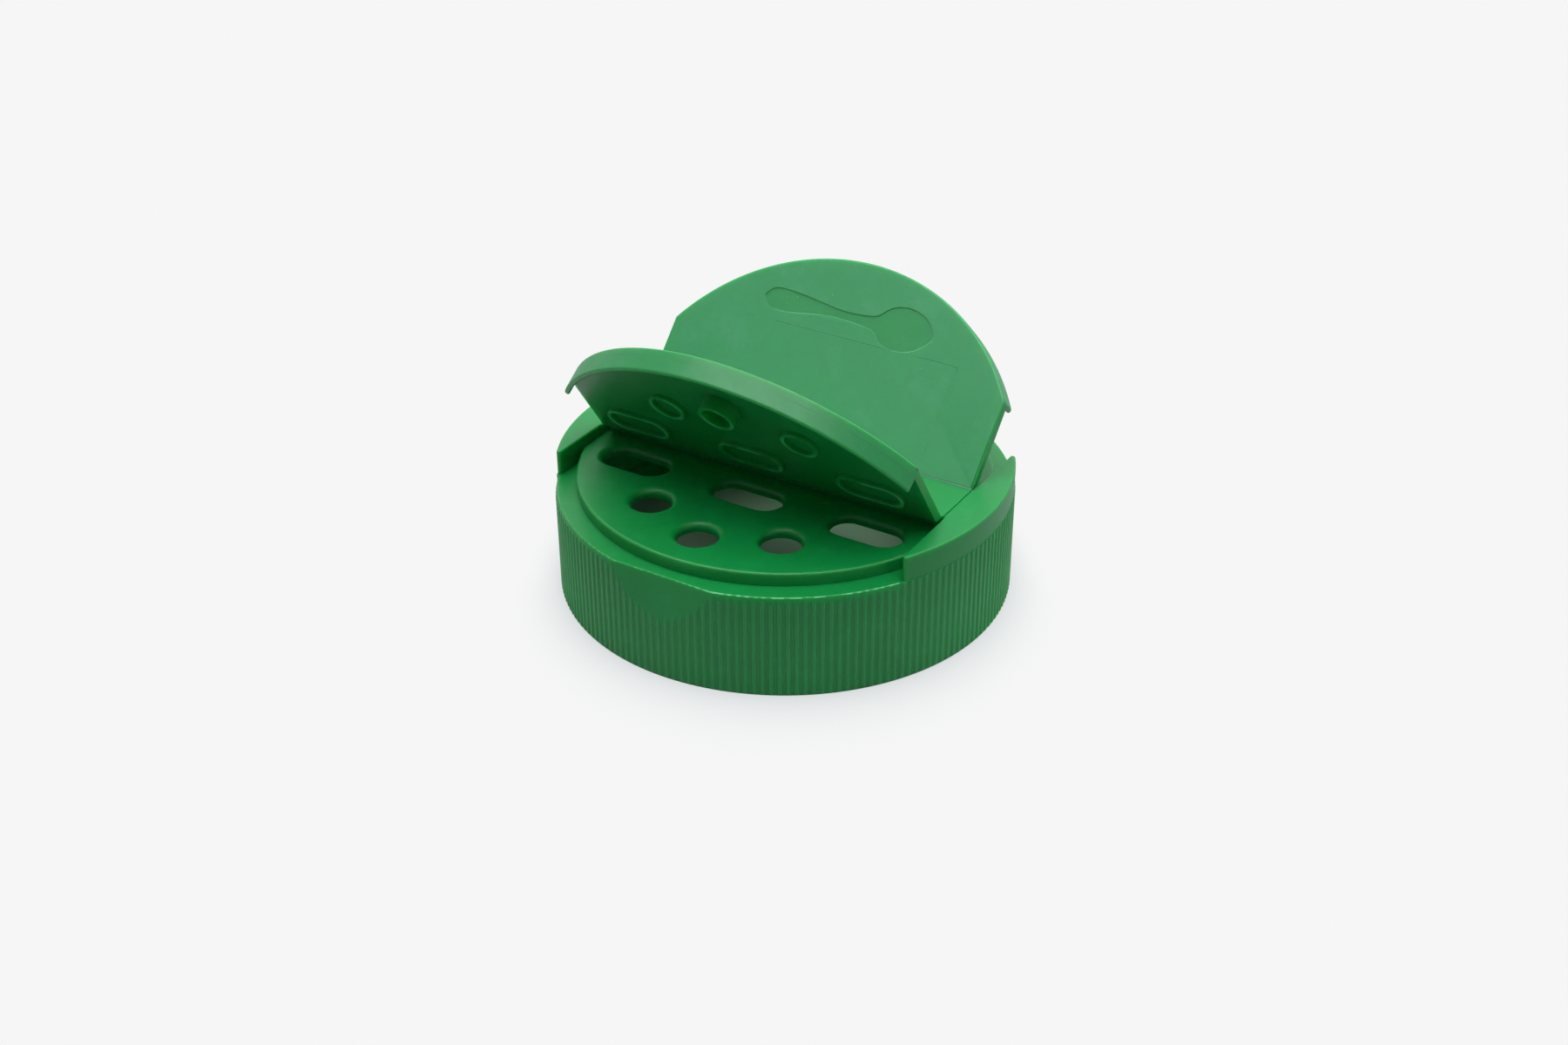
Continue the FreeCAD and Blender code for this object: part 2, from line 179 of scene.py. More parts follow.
def select_edges(piece: bpy.types.Object, test: Callable[[Vector], bool]) -> None:
    """Select the edges whose two ends both pass a test on their place.

    Args:
        piece: A mesh object in edit mode.
        test: Says whether a vertex at this place belongs to the wanted edges.
    """
    bpy.ops.mesh.select_all(action="DESELECT")
    bpy.ops.mesh.select_mode(type="EDGE")
    shape = bmesh.from_edit_mesh(piece.data)
    for edge in shape.edges:
        edge.select_set(all(test(corner.co) for corner in edge.verts))
    bmesh.update_edit_mesh(piece.data)


def put_down(piece: bpy.types.Object) -> None:
    """Write an object's place, turn and scale into its mesh.

    Args:
        piece: The object, which then sits at the origin.
    """
    take(piece)
    bpy.ops.object.transform_apply(location=True, rotation=True, scale=True)


def apply_modifier(piece: bpy.types.Object, kind: str, **settings: object) -> None:
    """Add a modifier to an object and apply it at once.

    Args:
        piece: The mesh object to change.
        kind: Blender's name for the kind of modifier.
        **settings: The modifier's properties.
    """
    take(piece)
    modifier = piece.modifiers.new(kind.title(), kind)
    for name, setting in settings.items():
        setattr(modifier, name, setting)
    bpy.ops.object.modifier_apply(modifier=modifier.name)


def smooth(piece: bpy.types.Object, angle: float = 35.0) -> None:
    """Shade an object smooth, except over sharp edges.

    Args:
        piece: The mesh object to shade.
        angle: The least angle in degrees that stays sharp.
    """
    take(piece)
    bpy.ops.object.shade_smooth_by_angle(angle=math.radians(angle))


# Shader building


@dataclass
class Graph:
    """A node tree, with short calls that add nodes and join them."""

    tree: bpy.types.NodeTree

    def add(self, kind: str, **settings: object) -> bpy.types.Node:
        """Add a node.

        Args:
            kind: The node's type name.
            **settings: The node's properties.

        Returns:
            The new node.
        """
        node = self.tree.nodes.new(kind)
        for name, setting in settings.items():
            setattr(node, name, setting)
        return node

    def plug(self, socket: Socket, source: Feed) -> None:
        """Link a source to a socket, or write a plain value into it.

        Args:
            socket: The input to fill.
            source: Another node's output, or a plain value.
        """
        if isinstance(source, Socket):
            self.tree.links.new(source, socket)
        else:
            socket.default_value = source

    def feed(self, node: bpy.types.Node, **inputs: Feed) -> bpy.types.Node:
        """Set or link a node's inputs.

        Args:
            node: The node to feed.
            **inputs: A socket or a plain value for each input, by name, with _ for a space.

        Returns:
            The same node.
        """
        for name, source in inputs.items():
            self.plug(node.inputs[name.replace("_", " ")], source)
        return node

    def operate(self, kind: str, operation: str, *values: Feed) -> bpy.types.Node:
        """Add a math node and feed its inputs in order.

        Args:
            kind: "ShaderNodeMath" or "ShaderNodeVectorMath".
            operation: The node's operation.
            *values: A socket or a plain value for each input.

        Returns:
            The new node.
        """
        node = self.add(kind, operation=operation)
        for socket, source in zip(node.inputs, values):
            self.plug(socket, source)
        return node

    def math(self, operation: str, *values: Feed) -> Socket:
        """Add a math node on numbers and return its result."""
        return self.operate("ShaderNodeMath", operation, *values).outputs[0]

    def vector(self, operation: str, *values: Feed) -> Socket:
        """Add a math node on vectors and return its vector."""
        return self.operate("ShaderNodeVectorMath", operation, *values).outputs["Vector"]

    def scalar(self, operation: str, *values: Feed) -> Socket:
        """Add a math node on vectors and return its number."""
        return self.operate("ShaderNodeVectorMath", operation, *values).outputs["Value"]

    def noise(self, place: Socket, scale: Feed, **inputs: Feed) -> bpy.types.Node:
        """Add a noise texture at a place and a scale, with its other inputs by name."""
        return self.feed(self.add("ShaderNodeTexNoise"), Vector=place, Scale=scale, **inputs)

    def split(self, place: Socket) -> list[Socket]:
        """Take a place apart into its X, Y and Z."""
        return list(self.feed(self.add("ShaderNodeSeparateXYZ"), Vector=place).outputs)

    def fade(self, source: Socket, low: Feed, high: Feed) -> Socket:
        """Rise smoothly from nought at the low value to one at the high value.

        Args:
            source: The number that decides.
            low: The value at which the result is nought.
            high: The value at which the result is one.

        Returns:
            The socket of the result.
        """
        node = self.add("ShaderNodeMapRange", interpolation_type="SMOOTHSTEP")
        return self.feed(node, Value=source, From_Min=low, From_Max=high).outputs["Result"]

    def mix(self, factor: Feed, first: Feed, second: Feed) -> Socket:
        """Mix two colours.

        Args:
            factor: How much of the second colour shows.
            first: The first colour.
            second: The second colour.

        Returns:
            The socket of the mixed colour.
        """
        node = self.add("ShaderNodeMix", data_type="RGBA")
        for number, source in zip(MIX_INPUTS, (factor, first, second)):
            self.plug(node.inputs[number], source)
        return node.outputs[MIX_RESULT]

    def group(self, tree: bpy.types.NodeTree, **inputs: Feed) -> bpy.types.Node:
        """Place a node group and feed it."""
        return self.feed(self.add("ShaderNodeGroup", node_tree=tree), **inputs)

    def join_shaders(self, share: Socket, first: Socket, second: Socket, sink: Socket) -> None:
        """Mix two shaders and send the result to the tree's output.

        Args:
            share: How much of the second shader shows.
            first: The first shader.
            second: The second shader.
            sink: The output's surface socket.
        """
        mixed = self.add("ShaderNodeMixShader")
        for socket, source in zip(mixed.inputs, (share, first, second)):
            self.plug(socket, source)
        self.plug(sink, mixed.outputs[0])


@dataclass
class Effect:
    """A shader effect that several materials share, built once as a node group."""

    name: str
    inputs: Sequence[tuple[str, str]]
    output: tuple[str, str]
    draw: Callable[[Graph, bpy.types.Node], Socket]

    def tree(self) -> bpy.types.NodeTree:
        """Find the group, or build it on first use.

        Returns:
            The node group's tree.
        """
        known = bpy.data.node_groups.get(self.name)
        if known:
            return known
        tree = bpy.data.node_groups.new(self.name, "ShaderNodeTree")
        for name, kind in self.inputs:
            tree.interface.new_socket(name=name, in_out="INPUT", socket_type=f"NodeSocket{kind}")
        name, kind = self.output
        tree.interface.new_socket(name=name, in_out="OUTPUT", socket_type=f"NodeSocket{kind}")
        graph = Graph(tree)
        source = graph.add("NodeGroupInput")
        sink = graph.add("NodeGroupOutput")
        tree.links.new(self.draw(graph, source), sink.inputs[name])
        return tree


def draw_flow(graph: Graph, source: bpy.types.Node) -> Socket:
    """Slow clouds of deeper and paler colour, as melt that flowed through the mould leaves them.

    Args:
        graph: The group's tree.
        source: The group's input node.

    Returns:
        The socket of the colour.
    """
    finer_by, deep_span, pale_span = 9.0, (0.62, 0.36), (0.5, 0.8)
    place, scale = source.outputs["Place"], source.outputs["Scale"]
    clouds = graph.noise(place, scale, Detail=3.0, Distortion=0.6)
    mottle = graph.noise(place, graph.math("MULTIPLY", scale, finer_by), Detail=4.0)
    deep = graph.fade(clouds.outputs[0], *deep_span)
    pale = graph.fade(mottle.outputs[0], *pale_span)
    amount = source.outputs["Amount"]
    colour = graph.mix(graph.math("MULTIPLY", deep, amount), source.outputs["Base"], source.outputs["Deep"])
    return graph.mix(graph.math("MULTIPLY", pale, amount), colour, source.outputs["Pale"])


def draw_grain(graph: Graph, source: bpy.types.Node) -> Socket:
    """The fine satin of a blasted mould over a slow unevenness of the wall.

    Args:
        graph: The group's tree.
        source: The group's input node.

    Returns:
        The socket of the height, about nought to one.
    """
    slower_by = 0.12
    place, scale = source.outputs["Place"], source.outputs["Scale"]
    fine = graph.noise(place, scale, Detail=2.0, Roughness=0.6)
    wall = graph.noise(place, graph.math("MULTIPLY", scale, slower_by), Detail=1.0)
    return graph.math("MULTIPLY_ADD", wall.outputs[0], source.outputs["Unevenness"], fine.outputs[0])


def draw_specks(graph: Graph, source: bpy.types.Node) -> Socket:
    """Sparse small specks of dust and flash, each of its own size.

    Args:
        graph: The group's tree.
        source: The group's input node.

    Returns:
        The socket of the mask.
    """
    finer_by, bend, core_share = 2.0, 0.4 * MM, 0.3
    region_scale, region_span = 60.0, (0.42, 0.58)
    place, scale = source.outputs["Place"], source.outputs["Scale"]
    wander = graph.noise(place, graph.math("MULTIPLY", scale, finer_by))
    bent = graph.vector("MULTIPLY_ADD", wander.outputs["Color"], (bend, bend, bend), place)
    cells = graph.feed(graph.add("ShaderNodeTexVoronoi"), Vector=bent, Scale=scale)
    lot = graph.scalar("DOT_PRODUCT", cells.outputs["Color"], (1.0, 0.0, 0.0))
    chosen = graph.math("LESS_THAN", lot, source.outputs["Share"])
    size = graph.math("MULTIPLY", source.outputs["Size"], scale)
    dot = graph.fade(cells.outputs["Distance"], size, graph.math("MULTIPLY", size, core_share))
    region = graph.noise(place, region_scale, Detail=1.0)
    chosen = graph.math("MULTIPLY", chosen, graph.fade(region.outputs[0], *region_span))
    return graph.math("MULTIPLY", dot, chosen)


def draw_scribe(graph: Graph, source: bpy.types.Node) -> Socket:
    """A hairline between two points, broken up a little along its length.

    Args:
        graph: The group's tree.
        source: The group's input node.

    Returns:
        The socket of the mask.
    """
    wander_scale, wander_reach, noise_middle = 170.0, 0.4 * MM, (0.5, 0.5, 0.5)
    core_share, break_scale, break_softness = 0.35, 420.0, 0.1
    place, start, end = (source.outputs[name] for name in ("Place", "Start", "End"))
    wander = graph.noise(place, wander_scale, Detail=2.0)
    centred = graph.vector("SUBTRACT", wander.outputs["Color"], noise_middle)
    shift = graph.vector("MULTIPLY", centred, (wander_reach, wander_reach, 0.0))
    along = graph.vector("SUBTRACT", end, start)
    here = graph.vector("SUBTRACT", graph.vector("ADD", place, shift), start)
    reached = graph.scalar("DOT_PRODUCT", here, along)
    ratio = graph.math("DIVIDE", reached, graph.scalar("DOT_PRODUCT", along, along))
    ratio = graph.math("MINIMUM", graph.math("MAXIMUM", ratio, 0.0), 1.0)
    foot = graph.feed(graph.add("ShaderNodeVectorMath", operation="SCALE"), Vector=along, Scale=ratio)
    gap = graph.scalar("LENGTH", graph.vector("SUBTRACT", here, foot.outputs["Vector"]))
    width, breaks = source.outputs["Width"], source.outputs["Breaks"]
    line = graph.fade(gap, width, graph.math("MULTIPLY", width, core_share))
    broken = graph.noise(place, break_scale, Detail=3.0)
    kept = graph.fade(broken.outputs[0], breaks, graph.math("ADD", breaks, break_softness))
    return graph.math("MULTIPLY", line, kept)


FLOW = Effect("melt_flow", (("Place", "Vector"), ("Base", "Color"), ("Deep", "Color"), ("Pale", "Color"),
                            ("Scale", "Float"), ("Amount", "Float")), ("Colour", "Color"), draw_flow)
GRAIN = Effect("satin_grain", (("Place", "Vector"), ("Scale", "Float"), ("Unevenness", "Float")),
               ("Height", "Float"), draw_grain)
SPECKS = Effect("dust_specks", (("Place", "Vector"), ("Scale", "Float"), ("Share", "Float"),
                                ("Size", "Float")), ("Mask", "Float"), draw_specks)
SCRIBE = Effect("scribed_line", (("Place", "Vector"), ("Start", "Vector"), ("End", "Vector"),
                                 ("Width", "Float"), ("Breaks", "Float")), ("Mask", "Float"), draw_scribe)


@dataclass(frozen=True)
class Scribe:
    """A witness line of the mould on a flap's top, from one point to another, in the flap's frame."""

    start: tuple[float, float]
    end: tuple[float, float]
    width: float = 0.06
    breaks: float = 0.2


@dataclass(frozen=True)
class FineLine:
    """How a fine sunk line of the mould darkens the surface, and how deep it lies in the grain's height."""

    colour: Colour
    cover: float
    depth: float

    def draw(self, graph: Graph, mask: Socket, colour: Socket, height: Socket) -> tuple[Socket, Socket]:
        """Lay the line over a finish.

        Args:
            graph: The material's tree.
            mask: Where the line is.
            colour: The colour so far.
            height: The height so far.

        Returns:
            The sockets of colour and height.
        """
        colour = graph.mix(graph.math("MULTIPLY", mask, self.cover), colour, (*self.colour, 1))
        return colour, graph.math("MULTIPLY_ADD", mask, -self.depth, height)


WITNESS_LINE = FineLine((0.004, 0.12, 0.035), cover=0.4, depth=2.5)
PARTING_LINE = FineLine((0.004, 0.14, 0.04), cover=0.45, depth=1.5)


@dataclass(frozen=True)
class GreenPlastic:
    """Satin green polypropylene as moulded: slightly translucent, with a soft sheen."""

    name: str
    base: Colour = (0.001, 0.258, 0.052)
    deep: Colour = (0.001, 0.228, 0.043)
    pale: Colour = (0.004, 0.290, 0.068)
    # The outside colours paint a sheen: a paler, bluer colour on a flap's top and its lip's outer face,
    # mottled by noise, in place of the veil of reflected light
    outside: Colour = (0.028, 0.290, 0.098)
    painted_sheen_pale: Colour = (0.050, 0.315, 0.130)
    painted_sheen_share: float = 0.8
    # The sunk sign takes back this share of the painted sheen, so it shows darker than the top, and is made a
    # little rougher
    recess_share: float = 0.5
    recess_roughness: float = 0.06
    # A painted highlight on the ledge's outer edge: its colour, its reach along X, and how much roughness
    # drops there
    ledge_highlight: Colour = (0.20, 0.60, 0.34)
    gleam_reach: float = 28.0
    gleam_polish: float = 0.15
    # A painted highlight on the tips of the plug rings: how far out it reaches, how strong it is and its
    # colour
    tip_reach: float = 28.5
    tip_cover: float = 0.8
    tip_colour: Colour = (0.05, 0.56, 0.20)
    rib_count: int = 180
    roughness: float = 0.40
    roughness_swing: float = 0.10
    patch_scale: float = 260.0
    translucency: float = 0.8
    scatter_reach: Colour = (0.15, 1.0, 0.2)
    scatter_depth: float = 3.0
    ior: float = 1.49
    flow_scale: float = 42.0
    flow_amount: float = 0.7
    grain_scale: float = 5200.0
    grain_depth: float = 0.012
    unevenness: float = 0.8
    speck_scale: float = 900.0
    speck_share: float = 0.08
    speck_size: float = 0.13
    speck_cover: float = 0.55
    speck_colour: Colour = (0.10, 0.42, 0.22)
    speck_height: float = 1.5

    def material(self, hinge: Hinge | None = None, scribes: Sequence[Scribe] = (),
                 recess_depth: float = 0.0, parting_depth: float = 0.0,
                 tip_depths: Sequence[float] = (), ledge_level: float = 0.0) -> bpy.types.Material:
        """Build the material for one portion of the moulding.

        Args:
            hinge: The flap's hinge, whose frame the marks are given in, or None on the cap.
            scribes: The witness lines on the flap's top.
            recess_depth: How far the sunk sign lies below the flap's top, or nought; there half the painted
                sheen is taken back.
            parting_depth: How far the parting line round the lip lies below the flap's top, or nought.
            tip_depths: How far the tips of the plug rings lie below the flap's top.
            ledge_level: The level of the ledge whose outer edge gets a painted highlight, or nought.

        Returns:
            The finished material.
        """
        material = bpy.data.materials.new(self.name)
        material.use_nodes = True
        graph = Graph(material.node_tree)
        shader = material.node_tree.nodes["Principled BSDF"]
        shader.inputs["Subsurface Weight"].default_value = self.translucency
        shader.inputs["Subsurface Radius"].default_value = self.scatter_reach
        shader.inputs["Subsurface Scale"].default_value = self.scatter_depth * MM
        shader.inputs["IOR"].default_value = self.ior
        place = graph.add("ShaderNodeTexCoord").outputs["Object"]
        flow = graph.group(FLOW.tree(), Place=place, Base=(*self.base, 1), Deep=(*self.deep, 1),
                           Pale=(*self.pale, 1), Scale=self.flow_scale, Amount=self.flow_amount)
        grain = graph.group(GRAIN.tree(), Place=place, Scale=self.grain_scale, Unevenness=self.unevenness)
        specks = graph.group(SPECKS.tree(), Place=place, Scale=self.speck_scale, Share=self.speck_share,
                             Size=self.speck_size * MM)
        colour = flow.outputs["Colour"]
        dusty = specks.outputs["Mask"]
        height = graph.math("MULTIPLY_ADD", dusty, self.speck_height, grain.outputs["Height"])
        patchy = graph.noise(place, self.patch_scale, Detail=3.0)
        swing = graph.math("SUBTRACT", patchy.outputs[0], 0.5)
        rough = graph.math("MULTIPLY_ADD", swing, self.roughness_swing, self.roughness)
        # Paint a highlight along the ledge's rounded outer edge
        if ledge_level:
            ledge_highlight = self.paint_ledge_highlight(graph, place, ledge_level)
            colour = graph.mix(ledge_highlight, colour, (*self.ledge_highlight, 1))
            rough = graph.math("MULTIPLY_ADD", ledge_highlight, -self.gleam_polish, rough)
        if hinge:
            local = self.flap_place(graph, place, hinge)
            for depth in tip_depths:
                colour = self.brighten_tips(graph, local, hinge.offset, depth, colour)
            colour, height, rough = self.mark(graph, local, hinge, (colour, height, rough), scribes,
                                              recess_depth, parting_depth)
        colour = graph.mix(graph.math("MULTIPLY", dusty, self.speck_cover), colour, (*self.speck_colour, 1))
        bump = graph.feed(graph.add("ShaderNodeBump"), Height=height, Strength=1.0,
                          Distance=self.grain_depth * MM)
        graph.feed(shader, Base_Color=colour, Roughness=rough, Normal=bump.outputs["Normal"])
        return material

    def paint_ledge_highlight(self, graph: Graph, place: Socket, level: float) -> Socket:
        """Find the ledge's rounded outer edge for a painted highlight in fine beads, stronger towards +X.

        Args:
            graph: The material's tree.
            place: The object coordinates.
            level: The ledge's level in millimetres.

        Returns:
            The socket of the mask.
        """
        top_depths, foot_depths, inner_radius = (0.005, 0.04), (0.20, 0.12), 31.6
        breakup_scale, ripple_depth, bead_span, least_bead = 520.0, 0.09, (0.42, 0.62), 0.15
        right_span, left_strength = (1.0, 9.0), 0.3
        x, y, z = graph.split(place)
        reach = graph.scalar("LENGTH", graph.vector("MULTIPLY", place, (1, 1, 0)))
        below = graph.fade(z, *metres(*(level - depth for depth in top_depths)))
        above = graph.fade(z, *metres(*(level - depth for depth in foot_depths)))
        between = graph.math("LESS_THAN", graph.math("ABSOLUTE", x), self.gleam_reach * MM)
        outer = graph.math("GREATER_THAN", reach, inner_radius * MM)
        ripple = graph.math("SINE", graph.math("MULTIPLY", graph.math("ARCTAN2", y, x), self.rib_count))
        # Noise breaks the painted highlight into beads, with the rib count; it is weaker towards -X
        highlight_breakup = graph.noise(place, breakup_scale, Detail=2.0)
        beads = graph.fade(graph.math("MULTIPLY_ADD", ripple, ripple_depth, highlight_breakup.outputs[0]), *bead_span)
        beads = graph.math("MULTIPLY_ADD", beads, 1 - least_bead, least_bead)
        right = graph.fade(x, *metres(*right_span))
        strength = graph.math("MULTIPLY", beads,
                              graph.math("MULTIPLY_ADD", right, 1 - left_strength, left_strength))
        band = graph.math("MULTIPLY", below, above)
        mask = graph.math("MULTIPLY", band, graph.math("MULTIPLY", between, outer))
        return graph.math("MULTIPLY", mask, strength)

    def axis_distance(self, graph: Graph, local: Socket, offset: float) -> Socket:
        """Measure from the cap's axis to a place on the shut flap, whose hinge line lies off that axis."""
        spread = graph.vector("MULTIPLY", graph.vector("ADD", local, (0, offset * MM, 0)), (1, 1, 0))
        return graph.scalar("LENGTH", spread)

    def brighten_tips(self, graph: Graph, local: Socket, offset: float, depth: float,
                      colour: Socket) -> Socket:
        """Let the narrow tips of the plug rings catch a little light.

        Args:
            graph: The material's tree.
            local: The coordinates in the flap's frame.
            offset: How far the hinge line lies from the cap's axis, in millimetres.
            depth: How far the tips lie below the flap's top, in millimetres.
            colour: The colour so far.

        Returns:
            The socket of the colour.
        """
        tip_span, breakup_scale, breakup_span = (0.07, 0.03), 240.0, (0.35, 0.62)
        gap = graph.math("ABSOLUTE", graph.math("ADD", graph.split(local)[2], depth * MM))
        inner = graph.math("LESS_THAN", self.axis_distance(graph, local, offset), self.tip_reach * MM)
        # Noise breaks up the painted highlight on the tips
        highlight_breakup = graph.noise(local, breakup_scale, Detail=2.0)
        mask = graph.math("MULTIPLY", graph.fade(gap, *metres(*tip_span)), inner)
        mask = graph.math("MULTIPLY", mask, graph.fade(highlight_breakup.outputs[0], *breakup_span))
        return graph.mix(graph.math("MULTIPLY", mask, self.tip_cover), colour, (*self.tip_colour, 1))

    def flap_place(self, graph: Graph, place: Socket, hinge: Hinge) -> Socket:
        """Turn object coordinates into the shut flap's frame.

        Args:
            graph: The material's tree.
            place: The object coordinates.
            hinge: The flap's hinge.

        Returns:
            The socket of the coordinates in the flap's frame.
        """
        spin = hinge.placement().to_euler()
        node = graph.add("ShaderNodeMapping", vector_type="TEXTURE")
        graph.feed(node, Vector=place, Location=hinge.axis_point, Rotation=spin)
        return node.outputs["Vector"]

    def mark(self, graph: Graph, local: Socket, hinge: Hinge, layers: tuple[Socket, Socket, Socket],
             scribes: Sequence[Scribe], recess_depth: float,
             parting_depth: float) -> tuple[Socket, Socket, Socket]:
        """Lay a painted sheen, the sunk sign's darker colour and a flap's own marks over the plain finish.

        Args:
            graph: The material's tree.
            local: The coordinates in the flap's frame.
            hinge: The flap's hinge.
            layers: The sockets of colour, height and roughness so far.
            scribes: The witness lines.
            recess_depth: The depth of the sunk sign, where half the painted sheen is taken back, or nought.
            parting_depth: The depth of the lip's parting line, or nought.

        Returns:
            The sockets of colour, height and roughness.
        """
        lip_span, top_span, sheen_mottle_scale, sheen_mottle_span = (32.6, 32.85), (-0.3, -0.1), 130.0, (0.48, 0.72)
        parting_span, parting_scale, parting_breaks = (0.06, 0.01), 110.0, (0.40, 0.62)
        wall_shares, floor_shares = (-0.4, -0.9), (-2.5, -1.5)
        colour, height, rough = layers
        level = graph.split(local)[2]
        on_lip = graph.fade(self.axis_distance(graph, local, hinge.offset), *metres(*lip_span))
        # Painted sheen: the top and the lip's outer face get the paler, bluer outside colour, mottled by
        # noise
        outer = graph.math("MAXIMUM", graph.fade(level, *metres(*top_span)), on_lip)
        sheen_mottle = graph.noise(local, sheen_mottle_scale, Detail=4.0, Roughness=0.65)
        sheen_mottle_mask = graph.fade(sheen_mottle.outputs[0], *sheen_mottle_span)
        outside = graph.mix(sheen_mottle_mask, (*self.outside, 1), (*self.painted_sheen_pale, 1))
        colour = graph.mix(graph.math("MULTIPLY", outer, self.painted_sheen_share), colour, outside)
        for scribe in scribes:
            start, end = (Vector((*point, 0)) * MM for point in (scribe.start, scribe.end))
            line = graph.group(SCRIBE.tree(), Place=local, Start=start, End=end,
                               Width=scribe.width * MM, Breaks=scribe.breaks)
            colour, height = WITNESS_LINE.draw(graph, line.outputs["Mask"], colour, height)
        if parting_depth:
            gap = graph.math("ABSOLUTE", graph.math("ADD", level, parting_depth * MM))
            patchy = graph.noise(local, parting_scale, Detail=2.0)
            mask = graph.math("MULTIPLY", graph.fade(gap, *metres(*parting_span)),
                              graph.fade(patchy.outputs[0], *parting_breaks))
            colour, height = PARTING_LINE.draw(graph, mask, colour, height)
        # The sunk sign takes back half of the painted sheen, so it shows darker than the top around it
        if recess_depth:
            sunk = graph.fade(level, *metres(*(share * recess_depth for share in wall_shares)))
            near = graph.fade(level, *metres(*(share * recess_depth for share in floor_shares)))
            mask = graph.math("MULTIPLY", sunk, near)
            colour = graph.mix(graph.math("MULTIPLY", mask, self.recess_share), colour, (*self.base, 1))
            rough = graph.math("MULTIPLY_ADD", mask, self.recess_roughness, rough)
        return colour, height, rough


@dataclass(frozen=True)
class PaleFloor:
    """Matt paper that the eye sees as a white sweep, with the cap's soft shadow close round its rim."""

    name: str = "pale_floor"
    paper: Colour = (0.46, 0.51, 0.54)
    fibre: Colour = (0.43, 0.48, 0.51)
    fibre_scale: float = 300.0
    roughness: float = 0.9
    table: Colour = (0.19, 0.20, 0.21)
    # Floor colour under the cap: painted shade and painted green bounce light from the cap's inner walls
    inside: Colour = (0.28, 0.46, 0.31)
    paper_reach: tuple[float, float] = (12.0, 28.0)
    white: float = 0.921
    rim_radius: float = 32.9
    side_shadow: float = 6.5
    front_shadow: float = 17.0
    shadow_power: float = 2.0
    shadow_heading: tuple[float, float, float] = (0.52, -0.85, 0.0)
    rim_share: float = 0.63
    sheen_share: float = 0.4

    def material(self) -> bpy.types.Material:
        """Build the floor's material.

        Returns:
            Matt paper, over which a camera ray sees more and more white away from the cap's rim.
        """
        material = bpy.data.materials.new(self.name)
        material.use_nodes = True
        graph = Graph(material.node_tree)
        shader = material.node_tree.nodes["Principled BSDF"]
        shader.inputs["Specular IOR Level"].default_value = 0.0
        place = graph.add("ShaderNodeTexCoord").outputs["Object"]
        paper = graph.noise(place, self.fibre_scale, Detail=3.0)
        reach = graph.scalar("LENGTH", place)
        away = graph.math("SUBTRACT", reach, self.rim_radius * MM)
        facing = graph.math("DIVIDE", graph.scalar("DOT_PRODUCT", place, self.shadow_heading), reach)
        longer = self.front_shadow - self.side_shadow
        facing = graph.math("MULTIPLY", graph.math("MAXIMUM", facing, 0.0), longer)
        width = graph.math("MULTIPLY", graph.math("ADD", facing, self.side_shadow), MM)
        nearness = graph.add("ShaderNodeMath", operation="SUBTRACT", use_clamp=True)
        graph.plug(nearness.inputs[0], 1.0)
        graph.plug(nearness.inputs[1], graph.math("DIVIDE", away, width))
        shadow = graph.math("POWER", nearness.outputs[0], self.shadow_power)
        share = graph.math("SUBTRACT", 1.0, graph.math("MULTIPLY", shadow, 1.0 - self.rim_share))
        outside = graph.math("GREATER_THAN", away, 0.0)
        colour = graph.mix(paper.outputs[0], (*self.paper, 1), (*self.fibre, 1))
        colour = graph.mix(graph.fade(away, *metres(*self.paper_reach)), colour, (*self.table, 1))
        # Under the cap the floor takes the inside colour, painted shade and green bounce light
        colour = graph.mix(outside, (*self.inside, 1), colour)
        graph.feed(shader, Base_Color=colour, Roughness=self.roughness)
        path = graph.add("ShaderNodeLightPath")
        seen = graph.math("MULTIPLY_ADD", path.outputs["Is Glossy Ray"], self.sheen_share,
                          path.outputs["Is Camera Ray"])
        share = graph.math("MULTIPLY", graph.math("MULTIPLY", share, outside), seen)
        glow = graph.feed(graph.add("ShaderNodeEmission"), Color=(self.white,) * 3 + (1,), Strength=1.0)
        sink = material.node_tree.nodes["Material Output"].inputs["Surface"]
        graph.join_shaders(share, shader.outputs[0], glow.outputs[0], sink)
        return material


# The cap and its pieces


def dress(piece: bpy.types.Object, material: bpy.types.Material) -> None:
    """Give an object one material in every slot.

    Args:
        piece: The mesh object.
        material: The material it gets.
    """
    if not piece.material_slots:
        piece.data.materials.append(material)
    for spot in piece.material_slots:
        spot.material = material


@dataclass
class CapBody:
    """The screw cap itself: the ribbed skirt, ledge, sifter deck, shoulders and bar."""

    finish: GreenPlastic = GreenPlastic("cap_plastic")
    ledge_level: float = 15.5

    def dress(self) -> bpy.types.Object:
        """Give the CAD node its moulded finish.

        Returns:
            The dressed node.
        """
        node = frame["nodes"][Portion.CAP.node]
        dress(node, self.finish.material(ledge_level=self.ledge_level))
        return node


@dataclass
class SifterFlap:
    """The front flap with its plug rings and hanging lip."""

    # A darker copy of the painted sheen on this flap's top and lip, set for how bright this top shows
    finish: GreenPlastic = GreenPlastic("sifter_flap_plastic", outside=(0.018, 0.252, 0.078),
                                        painted_sheen_pale=(0.036, 0.280, 0.108), flow_scale=38.0)
    hinge: Hinge = FRONT_HINGE
    parting_depth: float = 1.42
    tip_depths: tuple[float, ...] = (2.1, 3.6)

    def dress(self) -> bpy.types.Object:
        """Give the CAD node its moulded finish.

        Returns:
            The dressed node.
        """
        node = frame["nodes"][Portion.SIFTER.node]
        dress(node, self.finish.material(self.hinge, parting_depth=self.parting_depth,
                                         tip_depths=self.tip_depths))
        return node


